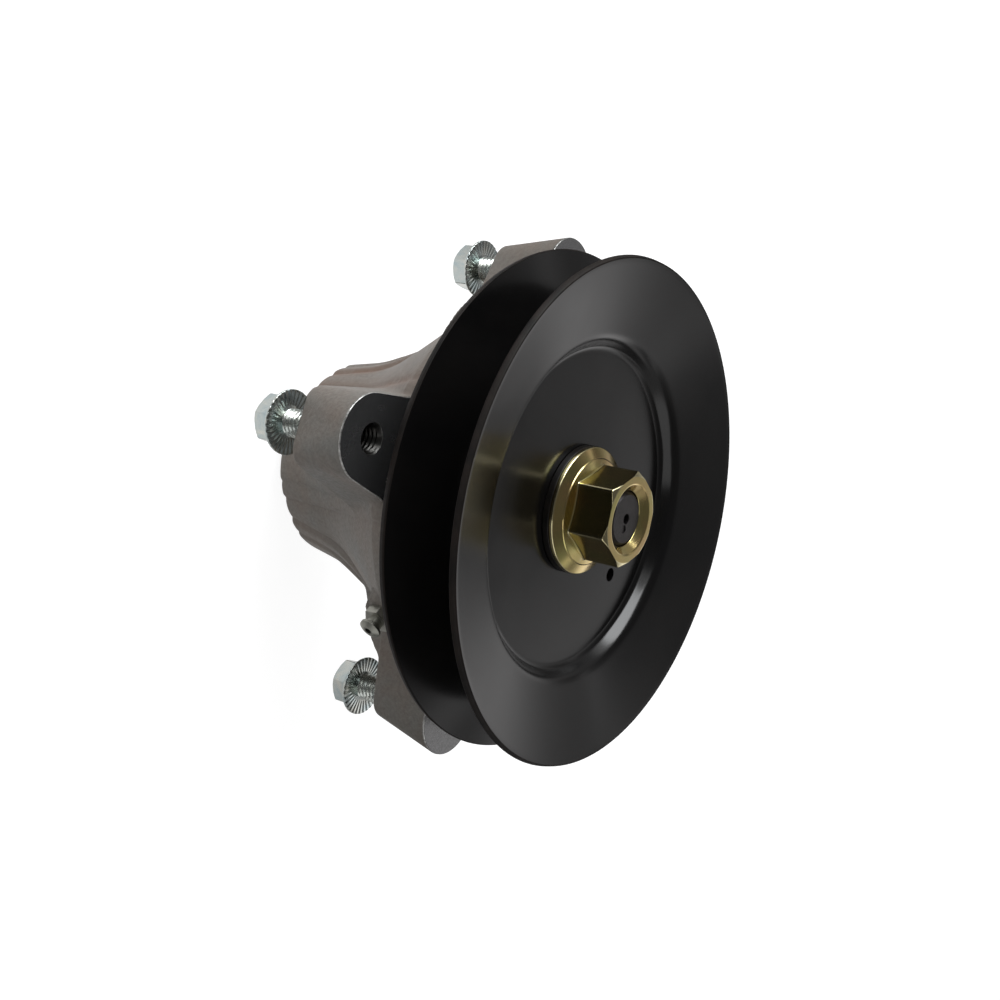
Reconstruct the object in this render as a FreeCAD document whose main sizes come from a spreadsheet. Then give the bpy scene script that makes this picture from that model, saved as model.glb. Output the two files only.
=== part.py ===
import FreeCAD, Part
import math
import os
import re
import Sketcher

# Mower deck spindle: a cast housing that stands on the deck, a shaft on two ball
# bearings, and a two-half stamped V-belt pulley held on the shaft by a flange nut.
# Millimetres and degrees. +Z runs along the shaft to the nut, Z = 0 is the face of the
# ears that meets the deck, and the ears lie along the X and Y axes.

SIZES = {
    # Pulley: two stampings of sheet, their webs face to face
    "pulley_diameter": 146.0,
    "pulley_width": 24.5,
    "pulley_top": 56.2,
    "pulley_sheet": 1.9,
    "groove_angle": 17.0,
    "web_depth": 11.6,
    "web_radius": 46.8,
    "wall_run": 2.4,
    "sheet_bend": 1.6,
    "web_hole_diameter": 4.2,
    "web_hole_radius": 32.0,
    "web_hole_turn": -28.0,
    # Shaft, with a seat of two flats for the pulley and a six-point blade pilot
    "journal_diameter": 20.0,
    "seat_diameter": 17.5,
    "seat_flat_cut": 1.6,
    "seat_length": 6.0,
    "seat_setback": 0.4,
    "thread_diameter": 15.88,
    "shaft_top": 60.6,
    "shaft_chamfer": 1.0,
    "collar_diameter": 28.0,
    "blade_seat_drop": 60.0,
    "pilot_length": 6.0,
    "pilot_diameter": 19.0,
    "pilot_root_diameter": 15.0,
    "blade_bolt_diameter": 8.6,
    "blade_bolt_depth": 28.0,
    "centre_drill_diameter": 3.0,
    "centre_drill_depth": 3.0,
    "punch_mark_diameter": 2.4,
    "punch_mark_depth": 0.3,
    "punch_mark_offset": 3.0,
    "fit_clearance": 0.03,
    "slide_clearance": 0.1,
    # Washer and flange nut on top of the pulley
    "washer_diameter": 37.4,
    "washer_thickness": 2.1,
    "nut_flange_diameter": 37.2,
    "nut_flange_edge": 1.2,
    "nut_flange_rise": 2.6,
    "nut_hexagon": 24.2,
    "nut_height": 15.4,
    "nut_corner_cut": 0.9,
    "nut_turn": 5.5,
    "nut_mouth_depth": 2.1,
    # Bearings, deep groove, 20 x 47 x 14
    "bearing_outer": 47.0,
    "bearing_width": 14.0,
    "ball_diameter": 7.94,
    "ball_circle": 33.5,
    "ball_clearance": 0.16,
    "inner_race_diameter": 28.8,
    "outer_race_diameter": 38.6,
    "race_chamfer": 0.8,
    "seal_thickness": 0.9,
    "seal_recess": 0.4,
    "seal_lip_gap": 0.2,
    "cage_thickness": 2.0,
    "cage_height": 5.0,
    "cage_skirt": 1.4,
    "upper_bearing_base": 11.0,
    "lower_bearing_drop": 42.6,
    # Spacers and dust shields
    "spacer_diameter": 26.4,
    "pulley_spacer_diameter": 31.0,
    "edge_chamfer": 0.6,
    "shield_thickness": 1.2,
    "shield_seat_diameter": 33.0,
    "shield_cone_run": 4.0,
    "shield_gap": 1.0,
    "upper_shield_diameter": 56.0,
    "lower_shield_diameter": 50.0,
    # Housing: hub and bell
    "hub_end_drop": 45.1,
    "hub_end_radius": 30.1,
    "hub_waist_radius": 34.4,
    "hub_waist_drop": 20.0,
    "hub_deck_radius": 46.0,
    "hub_sweep_radius": 45.0,
    "hub_edge_round": 1.5,
    "bell_radius": 57.5,
    "bell_height": 17.0,
    "boss_radius": 30.0,
    "boss_height": 27.0,
    "bearing_shoulder_diameter": 39.0,
    # Housing: ears, each narrower and longer at its pulley side than at its deck face
    "bolt_circle": 135.4,
    "ear_height": 20.2,
    "ear_wall": 12.0,
    "ear_half_width": 12.1,
    "ear_flank_angle": 10.0,
    "ear_corner": 11.6,
    "ear_foot_wall": 6.2,
    "ear_foot_half_width": 11.6,
    "ear_foot_flank_angle": 14.0,
    "ear_foot_corner": 6.0,
    "ear_root_radius": 24.0,
    # Housing: flat ribs and the wider webs behind them, at four levels up to the deck face
    "rib_low_drop": 30.0,
    "rib_high_drop": 14.0,
    "rib_end_radius": 29.2,
    "rib_low_radius": 31.7,
    "rib_high_radius": 37.0,
    "rib_foot_radius": 57.6,
    "rib_end_half_width": 8.8,
    "rib_low_half_width": 9.8,
    "rib_high_half_width": 11.4,
    "rib_foot_half_width": 14.4,
    "web_end_radius": 27.0,
    "web_low_radius": 29.9,
    "web_high_radius": 34.9,
    "web_foot_radius": 54.5,
    "web_end_half_width": 14.2,
    "web_low_half_width": 15.0,
    "web_high_half_width": 16.0,
    "web_foot_half_width": 20.0,
    "web_end_spread": 0.2,
    "web_foot_spread": 0.45,
    "core_turn": -45.0,
    "core_depth": 8.0,
    "core_inner_radius": 34.5,
    "core_outer_radius": 48.0,
    "core_half_width": 17.0,
    "core_corner": 4.0,
    # Deck bolts, and how far each stands off the ears
    "bolt_thread_diameter": 7.94,
    "bolt_length": 19.0,
    "bolt_point": 1.2,
    "bolt_flange_diameter": 17.9,
    "bolt_flange_edge": 0.9,
    "bolt_flange_rise": 1.7,
    "bolt_hexagon": 12.7,
    "bolt_head_height": 7.2,
    "bolt_corner_cut": 0.6,
    "bolt_gap_a": 11.6,
    "bolt_gap_b": 8.6,
    "bolt_gap_c": 13.2,
    "bolt_gap_d": 11.0,
    # Grease fitting in the side of the bell
    "grease_height": 13.0,
    "grease_turn": 231.5,
    "grease_boss_diameter": 12.0,
    "grease_boss_reach": 56.0,
    "grease_thread_diameter": 6.0,
    "grease_thread_length": 5.0,
    "grease_hexagon": 7.2,
    "grease_hexagon_height": 2.6,
    "grease_neck_diameter": 4.4,
    "grease_neck_length": 1.6,
    "grease_head_diameter": 6.4,
    "grease_head_height": 2.2,
    "grease_bore_diameter": 2.0,
}

BALL_COUNT = 8
EAR_COUNT = 4
PILOT_POINTS = 6

doc = FreeCAD.newDocument("deck_spindle")
sizes = doc.addObject("Spreadsheet::Sheet", "sizes")
for row, (alias, value) in enumerate(SIZES.items(), start=1):
    sizes.set(f"A{row}", alias)
    sizes.set(f"B{row}", str(value))
    sizes.setAlias(f"B{row}", alias)
doc.recompute()

# The origin and the two ends and the centre of an edge, as sketches number them
ORIGIN = (-1, 1)
START, END, CENTRE = range(1, 4)


def bound(text):
    """An expression in which each size is read from its cell in the sheet."""
    return re.sub(r"[a-z_]+", lambda word: f"sizes.{word[0]}" if word[0] in SIZES else word[0], text)


def number(text):
    """The present value of an expression, as a plain number."""
    value = sizes.evalExpression(bound(text))
    return float(getattr(value, "Value", value))


def tie(item, prop, text):
    item.setExpression(prop, bound(text))


def new_body(name):
    body = doc.addObject("PartDesign::Body", name)
    body.Label = name
    return body


def origin_item(body, role):
    return next(item for item in body.Origin.OriginFeatures if item.Role == role)


def new_sketch(body, name, role, height=None):
    """A sketch on one of the body's own planes, lifted off it by an expression."""
    sketch = body.newObject("Sketcher::SketchObject", f"{body.Name}_{name}")
    sketch.AttachmentSupport = (origin_item(body, role), [""])
    sketch.MapMode = "FlatFace"
    if height:
        tie(sketch, "AttachmentOffset.Base.z", height)
    return sketch


def drive(sketch, index, text):
    """Tie one constraint of a sketch to the sheet."""
    name = f"size_{index}"
    sketch.renameConstraint(index, name)
    tie(sketch, f"Constraints.{name}", text)


def place_point(sketch, geometry, end, across, up):
    for kind, text in (("DistanceX", across), ("DistanceY", up)):
        index = sketch.addConstraint(Sketcher.Constraint(kind, *ORIGIN, geometry, end, number(text)))
        drive(sketch, index, text)


def round_corner(point, before, after, radius):
    """Where a round corner leaves its two edges, its centre, and whether it turns left."""
    back = (before - point).normalize()
    ahead = (after - point).normalize()
    half = back.getAngle(ahead) / 2
    reach = radius / math.tan(half)
    centre = point + (back + ahead).normalize() * (radius / math.sin(half))
    return point + back * reach, point + ahead * reach, centre, back.cross(ahead).z < 0


def draw_outline(sketch, corners):
    """A closed outline through corners (across, up), or (across, up, radius) for a round one."""
    points = [FreeCAD.Vector(number(corner[0]), number(corner[1]), 0) for corner in corners]
    count = len(points)
    leave, arrive, rounds = list(points), list(points), {}
    for i, corner in enumerate(corners):
        if len(corner) == 3:
            radius = number(corner[2])
            rounds[i] = round_corner(points[i], points[i - 1], points[(i + 1) % count], radius)
            arrive[i], leave[i] = rounds[i][:2]
    lines = [sketch.addGeometry(Part.LineSegment(leave[i], arrive[(i + 1) % count]), False)
             for i in range(count)]
    for i, corner in enumerate(corners):
        before, after = lines[i - 1], lines[i]
        if i not in rounds:
            sketch.addConstraint(Sketcher.Constraint("Coincident", before, END, after, START))
            place_point(sketch, after, START, corner[0], corner[1])
            continue
        first, last, centre, left = rounds[i]
        span = (first, last) if left else (last, first)
        angles = [math.atan2(point.y - centre.y, point.x - centre.x) for point in span]
        circle = Part.Circle(centre, FreeCAD.Vector(0, 0, 1), number(corner[2]))
        arc = sketch.addGeometry(Part.ArcOfCircle(circle, *angles), False)
        mark = sketch.addGeometry(Part.Point(points[i]), True)
        near, far = (START, END) if left else (END, START)
        sketch.addConstraint(Sketcher.Constraint("PointOnObject", mark, START, before))
        sketch.addConstraint(Sketcher.Constraint("PointOnObject", mark, START, after))
        sketch.addConstraint(Sketcher.Constraint("Tangent", before, END, arc, near))
        sketch.addConstraint(Sketcher.Constraint("Tangent", arc, far, after, START))
        index = sketch.addConstraint(Sketcher.Constraint("Radius", arc, number(corner[2])))
        drive(sketch, index, corner[2])
        place_point(sketch, mark, START, corner[0], corner[1])


def draw_circle(sketch, diameter, across="0", up="0"):
    centre = FreeCAD.Vector(number(across), number(up), 0)
    circle = Part.Circle(centre, FreeCAD.Vector(0, 0, 1), number(diameter) / 2)
    geometry = sketch.addGeometry(circle, False)
    index = sketch.addConstraint(Sketcher.Constraint("Diameter", geometry, number(diameter)))
    drive(sketch, index, diameter)
    place_point(sketch, geometry, CENTRE, across, up)


def draw_hexagon(sketch, flats, turn="0"):
    """A regular hexagon about the origin, its first corner turned off the X axis."""
    corner = f"({flats}) / sqrt(3)"
    turns = [f"({turn} + {60 * i})" for i in range(6)]
    draw_outline(sketch, [(f"{corner} * cos{angle}", f"{corner} * sin{angle}") for angle in turns])


def draw_two_flats(sketch, diameter, flats):
    """A circle about the origin with two sides cut flat, square to Y."""
    radius, reach = number(diameter) / 2, number(flats) / 2
    half = math.asin(reach / radius)
    circle = Part.Circle(FreeCAD.Vector(), FreeCAD.Vector(0, 0, 1), radius)
    right = sketch.addGeometry(Part.ArcOfCircle(circle, -half, half), False)
    left = sketch.addGeometry(Part.ArcOfCircle(circle, math.pi - half, math.pi + half), False)
    run = radius * math.cos(half)
    ends = [FreeCAD.Vector(x, y, 0) for x, y in ((run, reach), (-run, reach), (-run, -reach), (run, -reach))]
    top = sketch.addGeometry(Part.LineSegment(ends[0], ends[1]), False)
    low = sketch.addGeometry(Part.LineSegment(ends[2], ends[3]), False)
    loop = (right, top, left, low)
    for i, geometry in enumerate(loop):
        sketch.addConstraint(Sketcher.Constraint("Coincident", geometry, END, loop[(i + 1) % 4], START))
    for arc in (right, left):
        sketch.addConstraint(Sketcher.Constraint("Coincident", arc, CENTRE, *ORIGIN))
    index = sketch.addConstraint(Sketcher.Constraint("Diameter", right, number(diameter)))
    drive(sketch, index, diameter)
    for line, side in ((top, ""), (low, "-")):
        sketch.addConstraint(Sketcher.Constraint("Horizontal", line))
        height = f"{side}({flats}) / 2"
        index = sketch.addConstraint(Sketcher.Constraint("DistanceY", *ORIGIN, line, START, number(height)))
        drive(sketch, index, height)


def turned(body, name, corners, kind="Revolution"):
    """A profile (radius, height) turned about Z, added or, as a Groove, cut away."""
    sketch = new_sketch(body, name, "XZ_Plane")
    draw_outline(sketch, corners)
    feature = body.newObject(f"PartDesign::{kind}", f"{body.Name}_{name}_{kind.lower()}")
    feature.Profile = sketch
    feature.ReferenceAxis = (sketch, ["V_Axis"])
    feature.Angle = 360
    return feature


def extruded(body, name, sketch, kind, length, reverse=False, midplane=False):
    feature = body.newObject(f"PartDesign::{kind}", f"{body.Name}_{name}_{kind.lower()}")
    feature.Profile = sketch
    feature.Reversed = reverse
    feature.Midplane = midplane
    tie(feature, "Length", length)
    return feature


def around(body, feature, count, angle=360.0):
    """Repeat one feature about Z."""
    pattern = body.newObject("PartDesign::PolarPattern", f"{feature.Name}_around")
    pattern.Originals = [feature]
    pattern.Axis = (origin_item(body, "Z_Axis"), [""])
    pattern.Angle = angle
    pattern.Occurrences = count
    body.Tip = pattern
    return pattern


WEB_FACE = "(pulley_top - web_depth)"
WEB_BACK = "(pulley_top - web_depth - 2 * pulley_sheet)"
SEAT_TOP = "(pulley_top - web_depth - seat_setback)"
SEAT_BASE = "(pulley_top - web_depth - seat_setback - seat_length)"
NUT_BASE = "(pulley_top - web_depth + washer_thickness)"
NUT_TOP = "(pulley_top - web_depth + washer_thickness + nut_height)"
JOURNAL_BORE = "(journal_diameter / 2 + slide_clearance)"


def pulley_half(name, rim, face, side):
    """One stamping: flat web, steep wall and groove flank, of one sheet thickness throughout."""
    body = new_body(name)
    rim_face_radius = "(pulley_diameter / 2 - pulley_sheet * sin(groove_angle))"
    wall_top_radius = "(web_radius + wall_run)"
    flank_drop = f"({rim_face_radius} - {wall_top_radius}) * tan(groove_angle)"
    wall_top = f"({rim} - {side} * {flank_drop})"
    wall_angle = f"(atan2({side} * ({wall_top} - {face}); wall_run) / 1 deg)"
    middle = f"(({wall_angle} + groove_angle) / 2)"
    spread = f"cos(({wall_angle} - groove_angle) / 2)"
    turned(body, "section", [
        ("0", face),
        ("web_radius", face, "sheet_bend"),
        (wall_top_radius, wall_top, "sheet_bend + pulley_sheet"),
        (rim_face_radius, rim),
        ("pulley_diameter / 2", f"{rim} - {side} * pulley_sheet * cos(groove_angle)"),
        (f"{wall_top_radius} + pulley_sheet * sin({middle}) / {spread}",
         f"{wall_top} - {side} * pulley_sheet * cos({middle}) / {spread}", "sheet_bend"),
        (f"web_radius + pulley_sheet * tan({wall_angle} / 2)",
         f"{face} - {side} * pulley_sheet", "sheet_bend + pulley_sheet"),
        ("0", f"{face} - {side} * pulley_sheet"),
    ])
    bore = new_sketch(body, "bore", "XY_Plane", f"{WEB_FACE} + 1")
    draw_two_flats(bore, "seat_diameter + slide_clearance", "seat_diameter - seat_flat_cut + slide_clearance")
    extruded(body, "bore", bore, "Pocket", "2 * pulley_sheet + 2")
    hole = new_sketch(body, "hole", "XY_Plane", f"{WEB_FACE} + 1")
    draw_circle(hole, "web_hole_diameter",
                "web_hole_radius * cos(web_hole_turn)", "web_hole_radius * sin(web_hole_turn)")
    extruded(body, "hole", hole, "Pocket", "2 * pulley_sheet + 2")
    return body


def spindle_shaft():
    """Turned bar: blade collar, bearing journal, pulley seat and threaded end."""
    body = new_body("spindle_shaft")
    turned(body, "bar", [
        ("0", "-blade_seat_drop"),
        ("collar_diameter / 2 - edge_chamfer", "-blade_seat_drop"),
        ("collar_diameter / 2", "-blade_seat_drop + edge_chamfer"),
        ("collar_diameter / 2", "-lower_bearing_drop - shield_thickness"),
        ("journal_diameter / 2", "-lower_bearing_drop - shield_thickness"),
        ("journal_diameter / 2", f"{SEAT_BASE} - edge_chamfer"),
        ("journal_diameter / 2 - edge_chamfer", SEAT_BASE),
        ("seat_diameter / 2", SEAT_BASE),
        ("seat_diameter / 2", SEAT_TOP),
        ("thread_diameter / 2", SEAT_TOP),
        ("thread_diameter / 2", "shaft_top - shaft_chamfer"),
        ("thread_diameter / 2 - shaft_chamfer", "shaft_top"),
        ("0", "shaft_top"),
    ])
    flats = new_sketch(body, "flats", "XY_Plane", SEAT_TOP)
    draw_circle(flats, "seat_diameter + 4")
    draw_two_flats(flats, "seat_diameter + 0.5", "seat_diameter - seat_flat_cut")
    extruded(body, "flats", flats, "Pocket", "seat_length")
    pilot = new_sketch(body, "pilot", "XY_Plane", "-blade_seat_drop")
    step = 180 / PILOT_POINTS
    star = []
    for i in range(2 * PILOT_POINTS):
        reach = "pilot_root_diameter / 2" if i % 2 else "pilot_diameter / 2"
        star.append((f"{reach} * cos({i * step})", f"{reach} * sin({i * step})"))
    draw_outline(pilot, star)
    extruded(body, "pilot", pilot, "Pad", "pilot_length", reverse=True)
    bolt_hole = new_sketch(body, "bolt_hole", "XY_Plane", "-blade_seat_drop - pilot_length")
    draw_circle(bolt_hole, "blade_bolt_diameter")
    extruded(body, "bolt_hole", bolt_hole, "Pocket", "blade_bolt_depth", reverse=True)
    turned(body, "centre_drill", [
        ("0", "shaft_top + 1"),
        ("centre_drill_diameter / 2", "shaft_top + 1"),
        ("centre_drill_diameter / 2", "shaft_top - centre_drill_depth + centre_drill_diameter / 2"),
        ("0", "shaft_top - centre_drill_depth"),
    ], "Groove")
    mark = new_sketch(body, "punch_mark", "XY_Plane", "shaft_top")
    draw_circle(mark, "punch_mark_diameter", "0", "-punch_mark_offset")
    extruded(body, "punch_mark", mark, "Pocket", "punch_mark_depth")
    return body


def ring(name, inner, outer, base, top, chamfer="edge_chamfer"):
    """A turned ring with its outer edges broken."""
    body = new_body(name)
    turned(body, "section", [
        (inner, base),
        (f"{outer} - {chamfer}", base),
        (outer, f"{base} + {chamfer}"),
        (outer, f"{top} - {chamfer}"),
        (f"{outer} - {chamfer}", top),
        (inner, top),
    ])
    return body


def pulley_nut():
    """Hexagon nut with a coned flange, its corners and the mouth of its thread turned off."""
    body = new_body("pulley_nut")
    bore = "(thread_diameter / 2 + slide_clearance)"
    corner = "(nut_hexagon / sqrt(3))"
    turned(body, "flange", [
        ("0", NUT_BASE),
        ("nut_flange_diameter / 2", NUT_BASE, "nut_flange_edge / 3"),
        ("nut_flange_diameter / 2", f"{NUT_BASE} + nut_flange_edge", "nut_flange_edge / 3"),
        ("nut_hexagon / 2", f"{NUT_BASE} + nut_flange_edge + nut_flange_rise"),
        ("0", f"{NUT_BASE} + nut_flange_edge + nut_flange_rise"),
    ])
    hexagon = new_sketch(body, "hexagon", "XY_Plane", NUT_BASE)
    draw_hexagon(hexagon, "nut_hexagon", "nut_turn + 30")
    extruded(body, "hexagon", hexagon, "Pad", "nut_height")
    turned(body, "corners", [
        (f"{corner} - nut_corner_cut * sqrt(3)", f"{NUT_TOP} + 0.01"),
        (f"{corner} + 1", f"{NUT_TOP} - nut_corner_cut - 1 / sqrt(3)"),
        (f"{corner} + 1", f"{NUT_TOP} + 0.01"),
    ], "Groove")
    turned(body, "thread", [
        ("0", f"{NUT_BASE} - 1"),
        (bore, f"{NUT_BASE} - 1"),
        (bore, f"{NUT_TOP} - nut_mouth_depth"),
        (f"{bore} + nut_mouth_depth", NUT_TOP),
        (f"{bore} + nut_mouth_depth", f"{NUT_TOP} + 1"),
        ("0", f"{NUT_TOP} + 1"),
    ], "Groove")
    return body


def inner_race(name, middle):
    body = new_body(name)
    bore = "(journal_diameter / 2 + fit_clearance)"
    shoulder = "inner_race_diameter / 2"
    low, top = f"{middle} - bearing_width / 2", f"{middle} + bearing_width / 2"
    turned(body, "section", [
        (f"{bore} + race_chamfer", low),
        (shoulder, low),
        (shoulder, top),
        (f"{bore} + race_chamfer", top),
        (bore, f"{top} - race_chamfer"),
        (bore, f"{low} + race_chamfer"),
    ])
    race_groove(body, middle)
    return body


def outer_race(name, middle):
    body = new_body(name)
    shoulder = "outer_race_diameter / 2"
    edge = "(bearing_outer / 2 - fit_clearance)"
    low, top = f"{middle} - bearing_width / 2", f"{middle} + bearing_width / 2"
    turned(body, "section", [
        (shoulder, low),
        (f"{edge} - race_chamfer", low),
        (edge, f"{low} + race_chamfer"),
        (edge, f"{top} - race_chamfer"),
        (f"{edge} - race_chamfer", top),
        (shoulder, top),
    ])
    race_groove(body, middle)
    return body


def race_groove(body, middle):
    """The round track that the balls run in."""
    track = body.newObject("PartDesign::SubtractiveTorus", f"{body.Name}_track")
    tie(track, "Radius1", "ball_circle / 2")
    tie(track, "Radius2", "ball_diameter / 2 + ball_clearance")
    tie(track, "Placement.Base.z", middle)
    body.Tip = track


def ball_cage(name, middle):
    """Moulded snap cage: a ring above the balls with a pocket for each."""
    body = new_body(name)
    turned(body, "ring", [
        ("(ball_circle - cage_thickness) / 2", f"{middle} - cage_skirt"),
        ("(ball_circle + cage_thickness) / 2", f"{middle} - cage_skirt"),
        ("(ball_circle + cage_thickness) / 2", f"{middle} + cage_height"),
        ("(ball_circle - cage_thickness) / 2", f"{middle} + cage_height"),
    ])
    pocket = body.newObject("PartDesign::SubtractiveSphere", f"{name}_pocket")
    tie(pocket, "Radius", "ball_diameter / 2 + ball_clearance")
    tie(pocket, "Placement.Base.x", "ball_circle / 2")
    tie(pocket, "Placement.Base.z", middle)
    around(body, pocket, BALL_COUNT)
    return body


def ball_set(name, middle):
    balls = []
    for i in range(BALL_COUNT):
        ball = doc.addObject("Part::Sphere", f"{name}_{i}")
        angle = i * 360 / BALL_COUNT
        tie(ball, "Radius", "ball_diameter / 2")
        tie(ball, "Placement.Base.x", f"ball_circle / 2 * cos({angle})")
        tie(ball, "Placement.Base.y", f"ball_circle / 2 * sin({angle})")
        tie(ball, "Placement.Base.z", middle)
        balls.append(ball)
    group = doc.addObject("Part::Compound", name)
    group.Label = name
    group.Links = balls
    return group


def bearing_seal(name, middle, side):
    body = new_body(name)
    face = f"({middle} {side} (bearing_width / 2 - seal_recess))"
    back = f"({middle} {side} (bearing_width / 2 - seal_recess - seal_thickness))"
    turned(body, "section", [
        ("inner_race_diameter / 2 + seal_lip_gap", face),
        ("outer_race_diameter / 2 - fit_clearance", face),
        ("outer_race_diameter / 2 - fit_clearance", back),
        ("inner_race_diameter / 2 + seal_lip_gap", back),
    ])
    return body


def dust_shield(name, seat, side, cover, diameter):
    """A pressed disc: flat seat on the inner race, cone, and a brim that covers the casting."""
    body = new_body(name)
    seat_radius = "shield_seat_diameter / 2"
    lip_radius = "(shield_seat_diameter / 2 + shield_cone_run)"
    brim = f"({cover} {side} shield_gap)"
    skin = f"{side} shield_thickness"
    turned(body, "section", [
        (JOURNAL_BORE, seat),
        (seat_radius, seat),
        (lip_radius, brim),
        (f"{diameter} / 2", brim),
        (f"{diameter} / 2", f"{brim} {skin}"),
        (f"{lip_radius} - shield_thickness / 2", f"{brim} {skin}"),
        (f"{seat_radius} - shield_thickness / 2", f"{seat} {skin}"),
        (JOURNAL_BORE, f"{seat} {skin}"),
    ])
    return body


def lofted(body, name, sketches, ruled=False):
    feature = body.newObject("PartDesign::AdditiveLoft", f"{body.Name}_{name}_loft")
    feature.Profile = sketches[0]
    feature.Sections = [(sketch, [""]) for sketch in sketches[1:]]
    feature.Ruled = ruled
    return feature


def tongue(body, name, height, radius, half_width, spread):
    """A level section of a web: flat end at a radius, flanks that spread towards the axis."""
    sketch = new_sketch(body, name, "XY_Plane", height)
    root = f"({half_width} + {radius} * {spread})"
    draw_outline(sketch, [("0", f"-{root}"), (radius, f"-{half_width}"), (radius, half_width), ("0", root)])
    return sketch


def ear_outline(body, name, height, wall, half_width, flank, corner):
    """A level section of an ear: rounded end, flanks that spread towards the axis."""
    sketch = new_sketch(body, name, "XY_Plane", height)
    reach = f"(bolt_circle / 2 + {wall})"
    end = f"({half_width} - {wall} * tan({flank}))"
    root = f"({half_width} + (bolt_circle / 2 - ear_root_radius) * tan({flank}))"
    draw_outline(sketch, [
        ("ear_root_radius", f"-{root}"),
        (reach, f"-{end}", corner),
        (reach, end, corner),
        ("ear_root_radius", root),
    ])
    return sketch


def housing():
    """Aluminium casting: hub and bell turned as one, with four ears, webs and ribs."""
    body = new_body("housing")
    levels = (("end", "-hub_end_drop"), ("low", "-rib_low_drop"), ("high", "-rib_high_drop"), ("foot", "0"))
    ribs = [tongue(body, f"rib_{level}", height, f"rib_{level}_radius", f"rib_{level}_half_width", "0")
            for level, height in levels]
    around(body, lofted(body, "rib", ribs), EAR_COUNT)
    webs = []
    for level, height in levels:
        climb = f"(hub_end_drop + {height}) / hub_end_drop"
        spread = f"(web_end_spread + (web_foot_spread - web_end_spread) * {climb})"
        radius, half_width = f"web_{level}_radius", f"web_{level}_half_width"
        webs.append(tongue(body, f"web_{level}", height, radius, half_width, spread))
    around(body, lofted(body, "web", webs), EAR_COUNT)

    turned(body, "bell", [
        ("0", "-hub_end_drop"),
        ("hub_end_radius", "-hub_end_drop", "hub_edge_round"),
        ("hub_waist_radius", "-hub_waist_drop", "hub_sweep_radius"),
        ("hub_deck_radius", "0", "hub_sweep_radius"),
        ("bell_radius", "bell_height"),
        ("bell_radius", "ear_height"),
        ("boss_radius", "ear_height"),
        ("boss_radius", "boss_height"),
        ("0", "boss_height"),
    ])

    ears = [
        ear_outline(body, "ear_foot", "0", "ear_foot_wall", "ear_foot_half_width",
                    "ear_foot_flank_angle", "ear_foot_corner"),
        ear_outline(body, "ear_top", "ear_height", "ear_wall", "ear_half_width",
                    "ear_flank_angle", "ear_corner"),
    ]
    around(body, lofted(body, "ear", ears, ruled=True), EAR_COUNT)

    turned(body, "bearing_bores", [
        ("0", "-hub_end_drop - 1"),
        ("bearing_outer / 2 + edge_chamfer", "-hub_end_drop - 1"),
        ("bearing_outer / 2 + edge_chamfer", "-hub_end_drop"),
        ("bearing_outer / 2", "-hub_end_drop + edge_chamfer"),
        ("bearing_outer / 2", "-lower_bearing_drop + bearing_width"),
        ("bearing_shoulder_diameter / 2", "-lower_bearing_drop + bearing_width"),
        ("bearing_shoulder_diameter / 2", "upper_bearing_base"),
        ("bearing_outer / 2", "upper_bearing_base"),
        ("bearing_outer / 2", "boss_height - edge_chamfer"),
        ("bearing_outer / 2 + edge_chamfer", "boss_height"),
        ("bearing_outer / 2 + edge_chamfer", "boss_height + 1"),
        ("0", "boss_height + 1"),
    ], "Groove")

    core = new_sketch(body, "core_plan", "XY_Plane", "ear_height")
    draw_outline(core, turned_plan([
        ("core_inner_radius", "-core_half_width * 0.7", "core_corner"),
        ("core_outer_radius", "-core_half_width", "core_corner"),
        ("core_outer_radius", "core_half_width", "core_corner"),
        ("core_inner_radius", "core_half_width * 0.7", "core_corner"),
    ], "core_turn"))
    cored = extruded(body, "core", core, "Pocket", "core_depth")
    around(body, cored, EAR_COUNT - 1, 180.0)

    bolt_hole = new_sketch(body, "bolt_hole", "XY_Plane", "ear_height")
    draw_circle(bolt_hole, "bolt_thread_diameter + slide_clearance", "bolt_circle / 2", "0")
    drilled = extruded(body, "bolt_hole", bolt_hole, "Pocket", "ear_height")
    around(body, drilled, EAR_COUNT)

    for name, kind, start, reach, diameter in (
        ("grease_boss", "Additive", "hub_deck_radius", "grease_boss_reach", "grease_boss_diameter"),
        ("grease_thread", "Subtractive", "grease_boss_reach - grease_thread_length - 0.5",
         "grease_boss_reach + 1", "grease_thread_diameter + slide_clearance"),
        ("grease_seat", "Subtractive", "grease_boss_reach", "grease_boss_reach + 6", "grease_boss_diameter"),
        ("grease_way", "Subtractive", "bearing_shoulder_diameter / 2 - 1",
         "grease_boss_reach - 1", "grease_bore_diameter"),
    ):
        bar = body.newObject(f"PartDesign::{kind}Cylinder", f"housing_{name}")
        tie(bar, "Radius", f"({diameter}) / 2")
        tie(bar, "Height", f"({reach}) - ({start})")
        stand_out(bar, start, "grease_turn", "grease_height")
        body.Tip = bar
    return body


def turned_plan(corners, turn):
    """The same outline turned about the origin."""
    return [
        (f"({x}) * cos({turn}) - ({y}) * sin({turn})", f"({x}) * sin({turn}) + ({y}) * cos({turn})", radius)
        for x, y, radius in corners
    ]


def stand_out(item, reach, turn, height):
    """Lay the item's own Z along the radius at an angle, its base at a reach from the axis."""
    tie(item, "Placement.Base.x", f"({reach}) * cos({turn})")
    tie(item, "Placement.Base.y", f"({reach}) * sin({turn})")
    tie(item, "Placement.Base.z", height)
    tie(item, "Placement.Rotation.Axis.x", f"-sin({turn})")
    tie(item, "Placement.Rotation.Axis.y", f"cos({turn})")
    tie(item, "Placement.Rotation.Axis.z", "0")
    tie(item, "Placement.Rotation.Angle", "90")


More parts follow.
